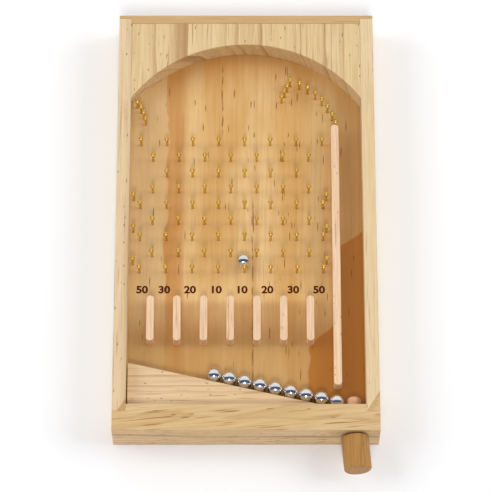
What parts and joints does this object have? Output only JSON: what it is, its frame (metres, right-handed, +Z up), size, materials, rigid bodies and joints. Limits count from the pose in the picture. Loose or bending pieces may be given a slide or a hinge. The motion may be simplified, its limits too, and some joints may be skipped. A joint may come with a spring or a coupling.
{
  "type": "pachinko machine",
  "caption": "Wooden tabletop pachinko board: open pine tray with an arched top, brass nails, scoring pockets, a return ramp, loose chrome balls and a sprung plunger.",
  "frame": {"origin": "centre of the case's flat underside", "axes": "+Z up out of the playfield towards the player, +Y from the plunger end to the arch end, +X to the player's right"},
  "size_m": [0.1924, 0.3612, 0.0325],
  "materials": {
    "pine_case": "planed, bare",
    "pine_playfield": "satin varnish",
    "pine_ramp": "planed, bare",
    "beech_strip": "sanded, bare",
    "dowel_knob": "sanded, oiled",
    "dowel_rod": "sanded, bare",
    "brass_nail": "bright",
    "chrome_ball": "mirror",
    "spring_steel": "drawn wire"
  },
  "bodies": {
    "cabinet": {"playfield_board": "pine_playfield", "left_side_wall": "pine_case", "right_side_wall": "pine_case", "top_rail": "pine_case", "bottom_rail": "pine_case", "arch_block": "pine_case", "return_ramp": "pine_ramp", "lane_divider": "beech_strip", "pocket_divider_1": "beech_strip", "pocket_divider_2": "beech_strip", "pocket_divider_3": "beech_strip", "pocket_divider_4": "beech_strip", "pocket_divider_5": "beech_strip", "pocket_divider_6": "beech_strip", "pocket_divider_7": "beech_strip", "nail_row_1": "brass_nail", "nail_row_2": "brass_nail", "nail_row_3": "brass_nail", "nail_row_4": "brass_nail", "nail_row_5": "brass_nail", "nail_row_6": "brass_nail", "nail_row_7": "brass_nail", "nail_row_8": "brass_nail", "nail_row_9": "brass_nail", "left_guard_nails": "brass_nail", "right_guard_nails": "brass_nail", "top_left_nails": "brass_nail", "top_right_inner_nails": "brass_nail", "top_right_arc_nails": "brass_nail", "plunger_spring": "spring_steel"},
    "plunger": {"plunger_knob": "dowel_knob", "plunger_rod": "dowel_rod", "striker": "dowel_rod"},
    "ball_1_body": {"ball_1": "chrome_ball"},
    "ball_2_body": {"ball_2": "chrome_ball"},
    "ball_3_body": {"ball_3": "chrome_ball"},
    "ball_4_body": {"ball_4": "chrome_ball"},
    "ball_5_body": {"ball_5": "chrome_ball"},
    "ball_6_body": {"ball_6": "chrome_ball"},
    "ball_7_body": {"ball_7": "chrome_ball"},
    "ball_8_body": {"ball_8": "chrome_ball"},
    "ball_9_body": {"ball_9": "chrome_ball"},
    "ball_10_body": {"ball_10": "chrome_ball"}
  },
  "joints": [
    {"name": "plunger_pull", "type": "slide", "parent": "cabinet", "child": "plunger", "axis": [0, -1, 0], "range_m": [0, 0.008], "stiffness_N_per_m": 600, "springref_m": -0.004, "deforming": ["plunger_spring"]},
    {"name": "ball_1_lift", "type": "slide", "parent": "cabinet", "child": "ball_1_body", "axis": [0, 0, 1], "range_m": [0, 0.03]},
    {"name": "ball_2_lift", "type": "slide", "parent": "cabinet", "child": "ball_2_body", "axis": [0, 0, 1], "range_m": [0, 0.03]},
    {"name": "ball_3_lift", "type": "slide", "parent": "cabinet", "child": "ball_3_body", "axis": [0, 0, 1], "range_m": [0, 0.03]},
    {"name": "ball_4_lift", "type": "slide", "parent": "cabinet", "child": "ball_4_body", "axis": [0, 0, 1], "range_m": [0, 0.03]},
    {"name": "ball_5_lift", "type": "slide", "parent": "cabinet", "child": "ball_5_body", "axis": [0, 0, 1], "range_m": [0, 0.03]},
    {"name": "ball_6_lift", "type": "slide", "parent": "cabinet", "child": "ball_6_body", "axis": [0, 0, 1], "range_m": [0, 0.03]},
    {"name": "ball_7_lift", "type": "slide", "parent": "cabinet", "child": "ball_7_body", "axis": [0, 0, 1], "range_m": [0, 0.03]},
    {"name": "ball_8_lift", "type": "slide", "parent": "cabinet", "child": "ball_8_body", "axis": [0, 0, 1], "range_m": [0, 0.03]},
    {"name": "ball_9_lift", "type": "slide", "parent": "cabinet", "child": "ball_9_body", "axis": [0, 0, 1], "range_m": [0, 0.03]},
    {"name": "ball_10_lift", "type": "slide", "parent": "cabinet", "child": "ball_10_body", "axis": [0, 0.28, 0.96], "range_m": [0, 0.03]}
  ]
}
